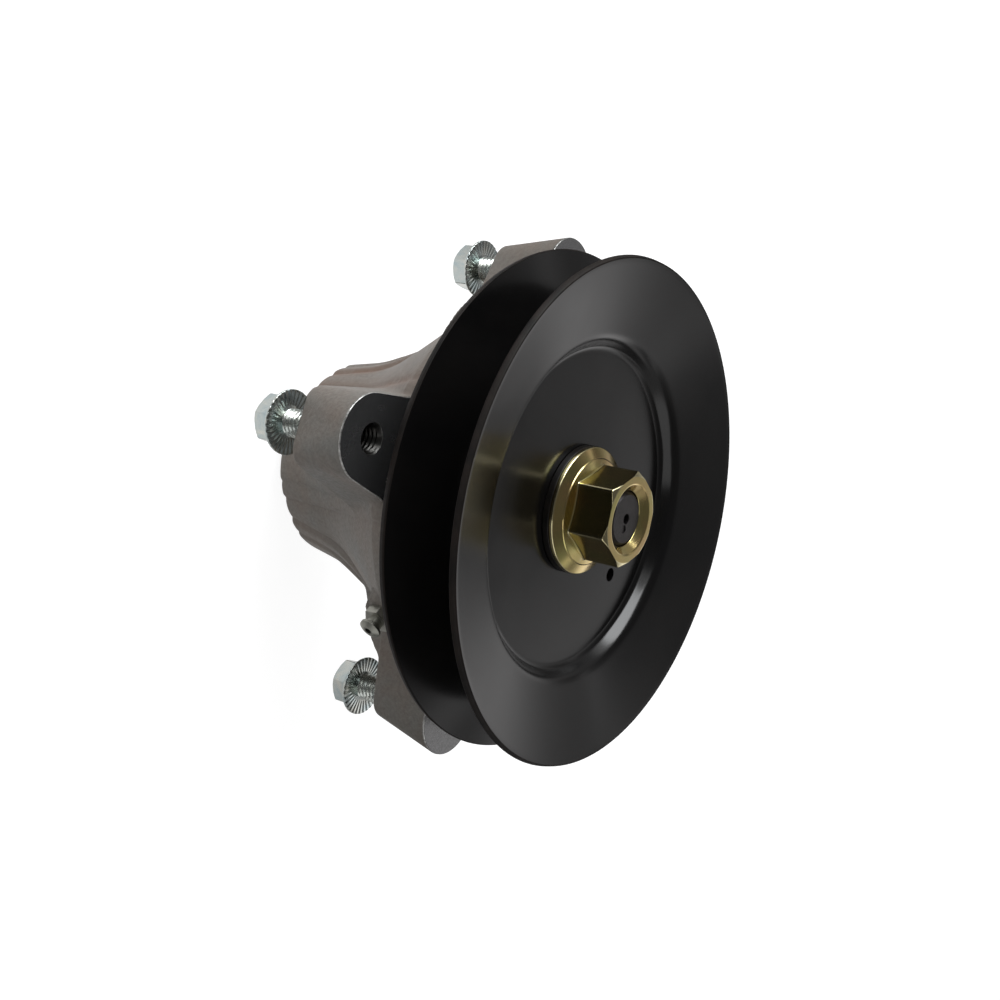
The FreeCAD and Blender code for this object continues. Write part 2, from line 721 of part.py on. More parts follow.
def deck_bolt(name, gap, turn):
    """Serrated flange bolt, started in its ear; its own Z = 0 is the bearing face of the flange."""
    body = new_body(name)
    corner = "(bolt_hexagon / sqrt(3))"
    turned(body, "shank", [
        ("0", "-bolt_flange_edge - bolt_flange_rise"),
        ("bolt_hexagon / 2", "-bolt_flange_edge - bolt_flange_rise"),
        ("bolt_flange_diameter / 2", "-bolt_flange_edge"),
        ("bolt_flange_diameter / 2", "0"),
        ("bolt_thread_diameter / 2", "0"),
        ("bolt_thread_diameter / 2", "bolt_length - bolt_point"),
        ("bolt_thread_diameter / 2 - bolt_point", "bolt_length"),
        ("0", "bolt_length"),
    ])
    hexagon = new_sketch(body, "hexagon", "XY_Plane", "-bolt_head_height")
    draw_hexagon(hexagon, "bolt_hexagon")
    extruded(body, "hexagon", hexagon, "Pad", "bolt_head_height - bolt_flange_edge / 2")
    turned(body, "corners", [
        (f"{corner} - bolt_corner_cut * sqrt(3)", "-bolt_head_height - 0.01"),
        (f"{corner} + 1", "-bolt_head_height - 0.01"),
        (f"{corner} + 1", "-bolt_head_height + bolt_corner_cut + 1 / sqrt(3)"),
    ], "Groove")
    tie(body, "Placement.Base.x", f"bolt_circle / 2 * cos({turn})")
    tie(body, "Placement.Base.y", f"bolt_circle / 2 * sin({turn})")
    tie(body, "Placement.Base.z", f"-{gap}")
    return body


def grease_fitting():
    """Straight fitting: threaded stub, hexagon, neck and rounded head, with a bore."""
    body = new_body("grease_fitting")
    head_base = "(grease_hexagon_height + grease_neck_length)"
    head_top = "(grease_hexagon_height + grease_neck_length + grease_head_height)"
    turned(body, "stem", [
        ("grease_bore_diameter / 2", "-grease_thread_length"),
        ("grease_thread_diameter / 2", "-grease_thread_length"),
        ("grease_thread_diameter / 2", "grease_hexagon_height"),
        ("grease_neck_diameter / 2", "grease_hexagon_height"),
        ("grease_neck_diameter / 2", head_base),
        ("grease_head_diameter / 2", f"{head_base} + grease_head_height / 3"),
        ("grease_head_diameter / 2", f"{head_top} - grease_head_height / 3"),
        ("grease_neck_diameter / 2 - 0.6", head_top),
        ("grease_bore_diameter / 2", head_top),
    ])
    hexagon = new_sketch(body, "hexagon", "XY_Plane")
    draw_hexagon(hexagon, "grease_hexagon")
    draw_circle(hexagon, "grease_bore_diameter")
    extruded(body, "hexagon", hexagon, "Pad", "grease_hexagon_height")
    stand_out(body, "grease_boss_reach", "grease_turn", "grease_height")
    return body


UPPER_MIDDLE = "(upper_bearing_base + bearing_width / 2)"
LOWER_MIDDLE = "(bearing_width / 2 - lower_bearing_drop)"

nodes = [
    housing(),
    grease_fitting(),
    spindle_shaft(),
    pulley_half("pulley_front_half", "pulley_top", WEB_FACE, 1),
    pulley_half("pulley_rear_half", "(pulley_top - pulley_width)", WEB_BACK, -1),
    ring("nut_washer", "(thread_diameter / 2 + slide_clearance)", "washer_diameter / 2",
         WEB_FACE, NUT_BASE, "0.3"),
    pulley_nut(),
    ring("pulley_spacer", JOURNAL_BORE, "pulley_spacer_diameter / 2",
         "(upper_bearing_base + bearing_width + shield_thickness)", WEB_BACK),
    ring("bearing_spacer", JOURNAL_BORE, "spacer_diameter / 2",
         "(bearing_width - lower_bearing_drop)", "upper_bearing_base"),
    dust_shield("upper_dust_shield", "(upper_bearing_base + bearing_width)", "+",
                "boss_height", "upper_shield_diameter"),
    dust_shield("lower_dust_shield", "-lower_bearing_drop", "-",
                "-hub_end_drop", "lower_shield_diameter"),
]
for place, middle in (("upper", UPPER_MIDDLE), ("lower", LOWER_MIDDLE)):
    nodes += [
        outer_race(f"{place}_outer_race", middle),
        inner_race(f"{place}_inner_race", middle),
        ball_cage(f"{place}_cage", middle),
        ball_set(f"{place}_balls", middle),
        bearing_seal(f"{place}_seal_top", middle, "+"),
        bearing_seal(f"{place}_seal_bottom", middle, "-"),
    ]
for letter, turn in (("a", 90), ("b", 180), ("c", 270), ("d", 0)):
    nodes.append(deck_bolt(f"deck_bolt_{letter}", f"bolt_gap_{letter}", turn))

doc.recompute()
for item in doc.Objects:
    if {"Invalid", "Error"} & set(item.State):
        raise SystemExit(f"{item.Name} failed: {item.State}")
for node in nodes:
    if node.Shape.isNull() or not node.Shape.isValid():
        raise SystemExit(f"{node.Label} has no valid shape")

os.makedirs("parts", exist_ok=True)
for node in nodes:
    node.Shape.exportStep(f"parts/{node.Label}.step")
    print(node.Label, len(node.Shape.Solids), round(node.Shape.Volume), "mm3")
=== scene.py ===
"""Looks of the mower deck spindle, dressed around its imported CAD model."""
import bpy
import math
import numpy as np
from mathutils import Matrix, Vector


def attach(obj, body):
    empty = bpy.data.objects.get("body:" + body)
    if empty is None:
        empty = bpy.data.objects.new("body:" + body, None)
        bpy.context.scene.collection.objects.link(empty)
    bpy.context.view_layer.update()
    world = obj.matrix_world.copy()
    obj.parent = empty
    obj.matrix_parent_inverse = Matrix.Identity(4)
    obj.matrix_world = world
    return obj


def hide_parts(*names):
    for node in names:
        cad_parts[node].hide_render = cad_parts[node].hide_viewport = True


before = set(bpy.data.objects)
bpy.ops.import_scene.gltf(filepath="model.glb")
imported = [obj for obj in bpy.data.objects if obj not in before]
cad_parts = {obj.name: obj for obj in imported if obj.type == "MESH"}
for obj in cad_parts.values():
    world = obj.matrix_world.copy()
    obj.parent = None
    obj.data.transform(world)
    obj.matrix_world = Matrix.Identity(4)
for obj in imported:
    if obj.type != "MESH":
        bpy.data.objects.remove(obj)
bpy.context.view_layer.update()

# View
# The camera stands on the pulley side, left of the shaft and above it, and is rolled so that
# the shaft points to the right of the picture, as when the spindle lies on its side.
camera_place = Vector((-0.3290091, -0.0310066, 0.2409000))
camera_right = Vector((0.526544, 0.261553, 0.808914))
camera_up = Vector((-0.204590, 0.962519, -0.178046))
camera_turn = Matrix((camera_right, camera_up, camera_right.cross(camera_up))).transposed().to_4x4()

camera = bpy.data.objects.new("camera", bpy.data.cameras.new("camera"))
camera.data.sensor_width = 36.0
camera.data.lens = 47.99
camera.data.clip_start = 0.01
camera.matrix_world = Matrix.Translation(camera_place) @ camera_turn
bpy.context.scene.collection.objects.link(camera)
bpy.context.scene.camera = camera

# Housing
# One aluminium casting: hub, bell and four ears with ribs and webs below them. The ear faces
# and bearing bores are machined, and the rest keeps its cast skin with soft corners. Sizes are
# in millimetres, with heights up from the deck faces of the ears.
MM = 0.001
ear_count = 4
ear_top = 20.2
ear_root = 58.6
bolt_radius = 67.7
bell_radius = 57.5
boss_radius = 30.0
boss_top = 27.0
hub_end = -45.1
bore_radius = 23.5
bore_edge = 0.6
shoulder_radius = 19.5
upper_seat = 11.0
lower_seat = -28.6
fitting_turn = math.radians(-128.5)
fitting_reach = 56.0
fitting_height = 13.0
fitting_radius = 6.6
# An ear's sizes at its deck face and at its pulley side, with the flank's angle in degrees
ear_angle = (14.0, 10.0)
ear_half_width = (11.6, 12.1)
ear_wall = (6.2, 12.0)
ear_corner = (6.0, 11.6)
# Straight lines of the wall: a radius or half width, the height where it holds, and its slope
hub_line = (29.8, hub_end, 0.1713)
waist_line = (34.4, -20.0, 0.58)
bell_line = (46.0, 0.0, 0.6765)
low_band_line = (29.2, hub_end, 0.25)
high_band_line = (32.0, -32.2, 0.42)
rib_line = (13.4, hub_end, 0.023)
web_line = (18.4, hub_end, 0.028)
inner_foot_line = (57.6, 0.0, 1.05)
outer_foot_line = (65.7, 0.0, 2.3)


def soft_max(a, b, blend):
    """The larger of two heights, with a parabola of height blend / 4 where they cross."""
    share = np.clip(0.5 + 0.5 * (a - b) / blend, 0.0, 1.0)
    return b + (a - b) * share + blend * share * (1.0 - share)


def soft_min(a, b, blend):
    """The smaller of two heights, rounded off in the same way."""
    return -soft_max(-a, -b, blend)


def soft_step(x):
    """0 below 0, 1 above 1, and 3x^2 - 2x^3 between."""
    x = np.clip(x, 0.0, 1.0)
    return x * x * (3.0 - 2.0 * x)


def on_line(height, line):
    """Value of a straight line at a height: its known value, and the rise from there times its
    slope."""
    value, level, slope = line
    return value + (height - level) * slope


def grown(sizes, rise):
    """A size between its first value, at a rise of 0, and its second, at a rise of 1."""
    return sizes[0] + (sizes[1] - sizes[0]) * rise


def cone(height):
    """Radius of the hub and bell: the highest of three straight lines, eased where they meet,
    and never more than the bell's rim."""
    lower = soft_max(on_line(height, hub_line), on_line(height, waist_line), 3.0)
    return soft_min(soft_max(lower, on_line(height, bell_line), 1.6), bell_radius, 1.0)


def ribbed_cone(turn, height):
    """The cone with a low rib on a wider web towards each ear, as two steps off its surface, and
    a fine crease, 1 / (1 + x^2) across, along the foot of each step."""
    plain = cone(height)
    band = soft_max(on_line(height, low_band_line), on_line(height, high_band_line), 2.0)
    proud = soft_max(band - plain, 0.9, 0.6)
    aside = plain * np.abs(np.sin(turn))
    from_rib = aside - on_line(height, rib_line)
    from_web = aside - on_line(height, web_line)
    rib = soft_step(-from_rib / 1.4)
    web = soft_step(-from_web / 1.6)
    rib_crease = 0.32 / (1.0 + (from_rib / 0.5) ** 2)
    web_crease = 0.5 / (1.0 + (from_web / 0.8) ** 2)
    return plain + proud * (0.45 * rib + 0.55 * web) - rib_crease - web_crease


def hub_radius(turn, height):
    """The ribbed cone, blended with the steep foot that carries each ear down to it. The foot is
    a tongue: the nearer of its end line, reach / cos(turn), and its flank, width / sin|turn|."""
    reach = soft_min(on_line(height, inner_foot_line), on_line(height, outer_foot_line), 2.0)
    end = reach / np.maximum(np.cos(turn), 1e-3)
    flank = 13.6 / np.maximum(np.abs(np.sin(turn)), 1e-3)
    return soft_max(ribbed_cone(turn, height), soft_min(end, flank, 1.2), 2.5)


def ear_radius(turn, height):
    """Polar radius of an ear's outline: end line, round corner and flank line, in steps of the
    turn."""
    rise = height / ear_top
    taper = np.tan(np.radians(grown(ear_angle, rise)))
    half_width = grown(ear_half_width, rise)
    reach = bolt_radius + grown(ear_wall, rise)
    corner = grown(ear_corner, rise)
    tilt = np.arctan(taper)
    end_half = half_width - (reach - bolt_radius) * taper
    side = end_half - corner * np.tan(np.pi / 4 - tilt / 2)
    centre = reach - corner
    turn = np.abs(turn)
    first = np.arctan2(side, reach)
    last = np.arctan2(side + corner * np.cos(tilt), centre + corner * np.sin(tilt))
    flank = (half_width + bolt_radius * taper) / np.maximum(np.sin(turn) + taper * np.cos(turn), 1e-3)
    inside = np.maximum(corner**2 - (centre * np.sin(turn) - side * np.cos(turn)) ** 2, 0.0)
    arc = centre * np.cos(turn) + side * np.sin(turn) + np.sqrt(inside)
    end = reach / np.cos(turn)
    return np.where(turn < first, end, np.where(turn < last, arc, flank))


def side_radius(turn, around, height):
    """Bell, ear and the flat seat of the grease fitting, each blended into the last."""
    body = ribbed_cone(turn, height)
    off = around - fitting_turn
    reach = fitting_reach / np.maximum(np.cos(off), 0.5)
    near = soft_step(fitting_radius - np.hypot(reach * np.sin(off), height - fitting_height))
    body = body + np.maximum(reach - body, 0.0) * near * (np.cos(off) > 0.5)
    return soft_max(body, ear_radius(turn, height), 3.0)


def soften(stations, steps=5):
    """Rows of a profile from stations (radius, height, round), arrays along the columns. A corner
    with a round becomes the curve (1-t)^2 A + 2t(1-t) C + t^2 B, where A and B lie at the round's
    length on its two sides, with one more row beyond each end to keep the sides flat."""
    longest_share = 0.38
    beyond = 1.25
    points = np.array([np.broadcast_arrays(*station) for station in stations], float)
    corners = points[:, :2]
    rounds = points[:, 2]
    rows = []
    for i, corner in enumerate(corners):
        if not rounds[i].any():
            rows.append(corner)
            continue
        ends = []
        for side in (corners[i - 1] - corner, corners[(i + 1) % len(corners)] - corner):
            length = np.maximum(np.hypot(*side), 1e-6)
            ends.append(side / length * np.minimum(rounds[i], longest_share * length))
        rows.append(corner + beyond * ends[0])
        for t in np.linspace(0.0, 1.0, steps + 1):
            rows.append(corner + (1 - t) ** 2 * ends[0] + t * t * ends[1])
        rows.append(corner + beyond * ends[1])
    rows = np.array(rows)
    return rows[:, 0], rows[:, 1]


def turned_skin(name, radius, height, angle, closed=True, axis=(0.0, 0.0), rise=0.0):
    """A closed skin about an upright axis: point (i, j) is at radius[i, j], height[i, j] and
    angle[j]. The columns join round. The rows join round too, or, where not closed, the first
    and last rows shrink to one point each."""
    rows, columns = radius.shape
    x = radius * np.cos(angle) + axis[0]
    y = radius * np.sin(angle) + axis[1]
    points = np.stack([x, y, height + rise], -1)
    index = np.arange(rows * columns).reshape(rows, columns)
    following = np.roll(index, -1, axis=1)
    if closed:
        upper = np.roll(index, -1, axis=0)
        upper_following = np.roll(following, -1, axis=0)
        faces = np.stack([index, following, upper_following, upper], -1).reshape(-1, 4).tolist()
        points = points.reshape(-1, 3)
    else:
        walls = np.stack([index[1:-2], following[1:-2], following[2:-1], index[2:-1]], -1)
        start = np.stack([np.full(columns, rows * columns), following[1], index[1]], -1)
        finish = np.stack([index[-2], following[-2], np.full(columns, rows * columns + 1)], -1)
        tips = [[*axis, height[0, 0] + rise], [*axis, height[-1, 0] + rise]]
        points = np.vstack([points.reshape(-1, 3), tips])
        used = np.ones(len(points), bool)
        used[index[0]] = used[index[-1]] = False
        renumber = np.cumsum(used) - 1
        faces = [face for part in (walls.reshape(-1, 4), start, finish) for face in renumber[part].tolist()]
        points = points[used]
    mesh = bpy.data.meshes.new(name)
    mesh.from_pydata((points * MM).tolist(), [], faces)
    mesh.validate()
    mesh.shade_smooth()
    piece = bpy.data.objects.new(name, mesh)
    bpy.context.scene.collection.objects.link(piece)
    return piece


def cut_away(piece, *cutters):
    """Takes the cutters out of the piece and bakes the result into its mesh."""
    for cutter in cutters:
        cut = piece.modifiers.new("cut", "BOOLEAN")
        cut.operation = "DIFFERENCE"
        cut.solver = "EXACT"
        cut.object = cutter
    depsgraph = bpy.context.evaluated_depsgraph_get()
    mesh = bpy.data.meshes.new_from_object(piece.evaluated_get(depsgraph))
    piece.modifiers.clear()
    piece.data = mesh
    for cutter in cutters:
        bpy.data.objects.remove(cutter)


# Columns lie closer along the ears, where the wall runs almost along the radius
crowded = 17.0
near_ear = np.linspace(-crowded, crowded, 76, endpoint=False)
between = np.linspace(crowded, 90.0 - crowded, 46, endpoint=False)
quadrant = np.concatenate([near_ear, between])
around = np.radians(np.concatenate([quadrant + 90.0 * i for i in range(ear_count)]))
turn = np.radians(np.tile(np.where(quadrant > 45.0, quadrant - 90.0, quadrant), ear_count))
flat = 0 * turn

foot_in = hub_radius(turn, 0.0)
foot_out = np.maximum(side_radius(turn, around, 0.0), foot_in)
side_top = side_radius(turn, around, ear_top)
on_ear = soft_step((side_top - bell_radius - 1.0) / 4.0)
# Between the ears the cone runs on through the deck plane, so there the two rows stand apart
flush = 1.0 - soft_step((foot_out - foot_in) / 2.5)
below = -1.2 * flush
above = 0.7 * flush

casting = [(bore_radius + bore_edge + flat, hub_end, 0.5)]
casting.append((hub_radius(turn, hub_end), hub_end, 1.5))
for height in np.linspace(-41.0, -3.2, 46):
    casting.append((hub_radius(turn, height), height, 0.0))
casting.append((hub_radius(turn, below), below, 2.2 - 1.8 * flush))
casting.append((np.maximum(side_radius(turn, around, above), foot_in), above, 0.7 - 0.4 * flush))
for height in np.linspace(1.8, ear_top - 4.6, 18):
    casting.append((side_radius(turn, around, height), height, 0.0))
casting.append((side_top, ear_top, 0.45 + 1.3 * (1.0 - on_ear)))

# Three pockets lie in the top of the bell, and the quarter behind the fitting is left solid
core_turns = np.radians(np.array([-45.0, 45.0, 135.0]))
core_rows = (56.0, 53.0, 50.5, 48.8, 48.0, 46.0, 43.0, 40.0, 37.0, 35.2, 34.2, 33.0)
core_outer = 48.8
core_inner = 34.0
core_depth = 8.0
core_wall = 1.2
for radius in core_rows:
    spread = (side_top - bell_radius) * (radius - core_rows[-1]) / (bell_radius - core_rows[-1])
    reach = np.minimum(radius + spread, side_top - 1.2)
    pocket = 0.0
    for middle in core_turns:
        off = around - middle
        inward = reach * np.cos(off)
        aside = np.abs(reach * np.sin(off))
        ends = soft_step((core_outer - inward) / core_wall) * soft_step((inward - core_inner) / core_wall)
        flanks = soft_step((7.0 + 0.2 * inward - aside) / core_wall)
        pocket = np.maximum(pocket, ends * flanks * (np.cos(off) > 0))
    casting.append((reach, ear_top - core_depth * pocket, 0.0))
casting += [
    (boss_radius + flat, ear_top, 1.6),
    (boss_radius + flat, boss_top, 0.8),
    (bore_radius + bore_edge + flat, boss_top, 0.0),
    (bore_radius + flat, boss_top - bore_edge, 0.0),
    (bore_radius + flat, upper_seat, 0.0),
    (shoulder_radius + flat, upper_seat, 0.3),
    (shoulder_radius + flat, lower_seat, 0.3),
    (bore_radius + flat, lower_seat, 0.0),
    (bore_radius + flat, hub_end + bore_edge, 0.0),
]
casting_piece = turned_skin("casting", *soften(casting), around)

# A tapped hole runs through each ear, and its thread meets that of the bolt started in it
bolt_gaps = {"a": 11.6, "b": 8.6, "c": 13.2, "d": 11.0}
bolt_turns = {"a": 90.0, "b": 180.0, "c": 270.0, "d": 0.0}
thread_pitch = 1.411
hole_minor = 3.35
hole_major = 3.9
hole_mouth = 4.4
drill_excess = 2.0


def bolt_axis(letter):
    """Where a bolt's axis crosses the deck faces: bolt_radius out at the bolt's turn."""
    angle = math.radians(bolt_turns[letter])
    return bolt_radius * math.cos(angle), bolt_radius * math.sin(angle)


def thread_radius(turn, height, minor, major):
    """A helix of V ridges, flat at root and crest: the profile climbs one pitch for each turn."""
    phase = height / thread_pitch - turn / (2 * np.pi)
    ridge = 2.0 * np.abs(phase - np.floor(phase) - 0.5)
    return minor + (major - minor) * np.clip(1.3 * ridge - 0.15, 0.0, 1.0)


drill_columns = np.linspace(0.0, 2 * np.pi, 40, endpoint=False)
depth = np.linspace(-drill_excess, ear_top + drill_excess, 104)[:, None]
mouth = hole_mouth - np.minimum(np.abs(depth), np.abs(depth - ear_top))
drills = []
for letter, gap in bolt_gaps.items():
    wall = np.maximum(thread_radius(drill_columns, depth + gap, hole_minor, hole_major), mouth)
    wall[0] = wall[-1] = 0.0
    level = np.broadcast_to(depth, wall.shape)
    drills.append(turned_skin("drill", wall, level, drill_columns, closed=False, axis=bolt_axis(letter)))
cut_away(casting_piece, *drills)


def wire(tree, kind, inputs, **settings):
    """Adds a node with its settings, and gives each input a value or another node's output."""
    made = tree.nodes.new(kind)
    for name, value in settings.items():
        setattr(made, name, value)
    for name, value in inputs.items():
        if isinstance(value, bpy.types.NodeSocket):
            tree.links.new(value, made.inputs[name])
        else:
            made.inputs[name].default_value = value
    return made


def new_group(name, inputs, outputs):
    """An empty shader group with float inputs (name: value) and float outputs."""
    group = bpy.data.node_groups.new(name, "ShaderNodeTree")
    for label, value in inputs.items():
        socket = group.interface.new_socket(label, in_out="INPUT", socket_type="NodeSocketFloat")
        socket.default_value = value
    for label in outputs:
        group.interface.new_socket(label, in_out="OUTPUT", socket_type="NodeSocketFloat")
    return group, group.nodes.new("NodeGroupInput").outputs, group.nodes.new("NodeGroupOutput").inputs


# Grain of a skin: a fine speckle, the soft blotches behind it, and the height of both
grain, grain_in, grain_out = new_group("grain", {"Size": 0.001, "Blotch": 0.02}, ("Fine", "Soft", "Height"))
grain_spot = wire(grain, "ShaderNodeTexCoord", {}).outputs["Object"]
noise_kinds = {"Size": {"Detail": 4.0, "Roughness": 0.65}, "Blotch": {"Detail": 3.0, "Distortion": 0.4}}
noise_ranges = []
for size, settings in noise_kinds.items():
    scale = wire(grain, "ShaderNodeMath", {0: 1.0, 1: grain_in[size]}, operation="DIVIDE").outputs[0]
    noise = wire(grain, "ShaderNodeTexNoise", {"Vector": grain_spot, "Scale": scale, **settings})
    limits = {"Value": noise.outputs["Fac"], "From Min": 0.3, "From Max": 0.7}
    noise_ranges.append(wire(grain, "ShaderNodeMapRange", limits).outputs[0])
fine, soft = noise_ranges
both = wire(grain, "ShaderNodeMath", {0: soft, 1: 0.6, 2: fine}, operation="MULTIPLY_ADD").outputs[0]
grain.links.new(fine, grain_out["Fine"])
grain.links.new(soft, grain_out["Soft"])
grain.links.new(both, grain_out["Height"])


def between_colours(tree, share, first, second):
    """A colour between two, numbers or sockets, by a share from 0 to 1."""
    inputs = {0: share}
    for slot, side in ((6, first), (7, second)):
        inputs[slot] = side if isinstance(side, bpy.types.NodeSocket) else (*side, 1.0)
    return wire(tree, "ShaderNodeMix", inputs, data_type="RGBA").outputs[2]


def between_values(tree, share, first, second):
    """A number between two, by a share from 0 to 1."""
    return wire(tree, "ShaderNodeMix", {0: share, 2: first, 3: second}).outputs[0]


def new_finish(name, metallic, speckle, blotch):
    """A material with one Principled shader and a grain at two sizes in metres, and with it its
    tree, its shader and the outputs of the grain."""
    material = bpy.data.materials.new(name)
    material.use_nodes = True
    tree = material.node_tree
    shader = tree.nodes["Principled BSDF"]
    shader.inputs["Metallic"].default_value = metallic
    sizes = {"Size": speckle, "Blotch": blotch}
    return material, tree, shader, wire(tree, "ShaderNodeGroup", sizes, node_tree=grain).outputs


def tint(tree, shader, share, first, second):
    """Sends a colour between two to the shader."""
    tree.links.new(between_colours(tree, share, first, second), shader.inputs["Base Color"])


def roughen(tree, shader, share, first, second):
    """Sends a roughness between two to the shader."""
    tree.links.new(between_values(tree, share, first, second), shader.inputs["Roughness"])


def raise_surface(tree, shader, height, depth):
    """Sends a height, in parts of a depth in metres, to the shader's normal."""
    bump = wire(tree, "ShaderNodeBump", {"Height": height, "Distance": depth, "Strength": 1.0})
    tree.links.new(bump.outputs["Normal"], shader.inputs["Normal"])


def grained_finish(name, metallic, sizes, colour, rough, relief=None):
    """A finish whose colour and roughness each run between two values, (output, first, second),
    and whose surface rises by a depth, (output, depth), with the named outputs of its grain."""
    material, tree, shader, marks = new_finish(name, metallic, *sizes)
    tint(tree, shader, marks[colour[0]], *colour[1:])
    roughen(tree, shader, marks[rough[0]], *rough[1:])
    if relief:
        raise_surface(tree, shader, marks[relief[0]], relief[1])
    return material


cast_skin, tree, shader, marks = new_finish("cast skin", 0.35, 0.0011, 0.013)
pale = between_colours(tree, marks["Fine"], (0.128, 0.121, 0.110), (0.208, 0.200, 0.185))
stained = between_colours(tree, marks["Soft"], (0.184, 0.136, 0.104), (0.160, 0.160, 0.145))
clean = between_colours(tree, 0.5, pale, stained)
crease = wire(tree, "ShaderNodeAttribute", {}, attribute_name="crease").outputs["Fac"]
patchy = between_values(tree, marks["Soft"], 0.25, 0.95)
soiled = wire(tree, "ShaderNodeMath", {0: crease, 1: patchy}, operation="MULTIPLY").outputs[0]
tint(tree, shader, soiled, clean, (0.150, 0.094, 0.066))
roughen(tree, shader, marks["Fine"], 0.62, 0.50)
raise_surface(tree, shader, marks["Height"], 0.00007)

cut_face = grained_finish(
    "machined face", 0.85, (0.0005, 0.006),
    ("Fine", (0.19, 0.19, 0.192), (0.28, 0.28, 0.282)), ("Soft", 0.20, 0.28), ("Fine", 0.00002),
)
# A painted highlight: the pale speckle along the ear edges stands in for the light they catch
highlight_edge = grained_finish(
    "painted highlight edge", 1.0, (0.0009, 0.004),
    ("Fine", (0.09, 0.088, 0.084), (0.66, 0.66, 0.64)), ("Fine", 0.42, 0.25), ("Fine", 0.00006),
)
# Painted shade: the tapped walls are coloured near black, standing in for the shade inside the holes where
# the bolts sit
shaded_tapped_wall = grained_finish(
    "tapped wall", 1.0, (0.0005, 0.003),
    ("Fine", (0.030, 0.029, 0.028), (0.065, 0.064, 0.060)), ("Soft", 0.26, 0.36),
)


def read_out(items, name, width=3, kind=float):
    """One property of all items of a mesh, with a row of numbers for each item."""
    values = np.empty(width * len(items), kind)
    items.foreach_get(name, values)
    return values.reshape(-1, width)


mesh = casting_piece.data
for material in (cast_skin, cut_face, highlight_edge, shaded_tapped_wall):
    mesh.materials.append(material)

# Brown soil has gathered along the creases beside the webs, most of it on the upper side
x, y, height = (read_out(mesh.vertices, "co") / MM).T
crease_turn = np.mod(np.arctan2(y, x) + np.pi / 4, np.pi / 2) - np.pi / 4
off_crease = cone(height) * np.abs(np.sin(crease_turn)) - on_line(height, web_line)
on_cone = soft_step((cone(height) + 5.0 - np.hypot(x, y)) / 2.0)
on_upper_side = 0.2 + 0.8 * soft_step(y / 20.0 + 0.5)
soil = on_cone / (1.0 + (off_crease / 2.4) ** 2) * on_upper_side
mesh.attributes.new("crease", "FLOAT", "POINT").data.foreach_set("value", soil)

# The machined faces, the ear edges with their painted highlight and the tapped walls with their painted
# shade are told by their places
centres = read_out(mesh.polygons, "center") / MM
facing_up = read_out(mesh.polygons, "normal")[:, 2]
starts = read_out(mesh.polygons, "loop_start", 1, np.int32).ravel()
corners = read_out(mesh.loops, "vertex_index", 1, np.int32).ravel()
farthest = np.maximum.reduceat(np.hypot(x, y)[corners], starts)
reach = np.hypot(centres[:, 0], centres[:, 1])
level = centres[:, 2]
hole_axes = np.array([bolt_axis(letter) for letter in bolt_gaps])
to_hole = np.min(np.hypot(*(centres[:, None, :2] - hole_axes).transpose(2, 0, 1)), axis=1)
top_face = (farthest > ear_root) & (facing_up > 0.97) & (level > ear_top - 0.3)
deck_face = (farthest > ear_root) & (facing_up < -0.97) & (np.abs(level) < 0.3)
bores = (reach < bore_radius + 0.8) & (level > hub_end - 1.0)
index = np.zeros(len(mesh.polygons), np.int32)
index[top_face | deck_face | bores] = 1
# The ear edges take the painted highlight
index[(reach > ear_root) & (level > ear_top - 0.55) & ~top_face] = 2
# The tapped walls take the painted shade
index[to_hole < 4.2] = 3
mesh.polygons.foreach_set("material_index", index)
mesh.set_sharp_from_angle(angle=math.radians(50))
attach(casting_piece, "housing")
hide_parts("housing")

# Grease fitting
# A small turned steel fitting with dull zinc plate, screwed into its flat seat on the side of
# the bell.


def dress(finish, *names):
    """Gives CAD nodes a finish in place of the flat colour that they came with."""
    for name in names:
        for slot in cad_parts[name].material_slots:
            slot.material = finish


dull_zinc = grained_finish(
    "dull zinc", 1.0, (0.0005, 0.003),
    ("Soft", (0.26, 0.26, 0.23), (0.38, 0.38, 0.34)), ("Fine", 0.36, 0.48),
)
dress(dull_zinc, "grease_fitting")

# Bearings, spacers and dust shields
# Two sealed ball bearings pressed into the hub, held apart by a turned spacer. A pressed,
# zinc plated shield covers each end, and a thicker spacer carries the pulley.
ground = grained_finish(
    "ground steel", 1.0, (0.0003, 0.005),
    ("Soft", (0.46, 0.46, 0.47), (0.56, 0.56, 0.56)), ("Fine", 0.14, 0.24),
)
nylon = grained_finish(
    "cage nylon", 0.0, (0.0006, 0.006),
    ("Soft", (0.74, 0.70, 0.60), (0.82, 0.79, 0.70)), ("Fine", 0.42, 0.55),
)
rubber = grained_finish(
    "seal rubber", 0.0, (0.0005, 0.005),
    ("Fine", (0.018, 0.018, 0.018), (0.04, 0.04, 0.04)), ("Soft", 0.48, 0.62),
)
pressed = grained_finish(
    "pressed zinc sheet", 1.0, (0.0009, 0.009),
    ("Soft", (0.40, 0.42, 0.43), (0.50, 0.50, 0.48)), ("Fine", 0.30, 0.42), ("Soft", 0.00003),
)
for place in ("upper", "lower"):
    dress(ground, f"{place}_outer_race", f"{place}_inner_race", f"{place}_balls")
    dress(nylon, f"{place}_cage")
    dress(rubber, f"{place}_seal_top", f"{place}_seal_bottom")
    dress(pressed, f"{place}_dust_shield")

# Shaft
# A turned steel bar with a darkened surface, as on the two spacers. Its end, with the centre
# drilling, sits just inside the mouth of the nut, and the blade's collar and six-point pilot
# are at the other end.
dark_bar = grained_finish(
    "darkened steel", 1.0, (0.0006, 0.006),
    ("Fine", (0.035, 0.033, 0.034), (0.065, 0.06, 0.06)), ("Soft", 0.32, 0.45), ("Fine", 0.00002),
)
dress(dark_bar, "spindle_shaft", "bearing_spacer", "pulley_spacer")

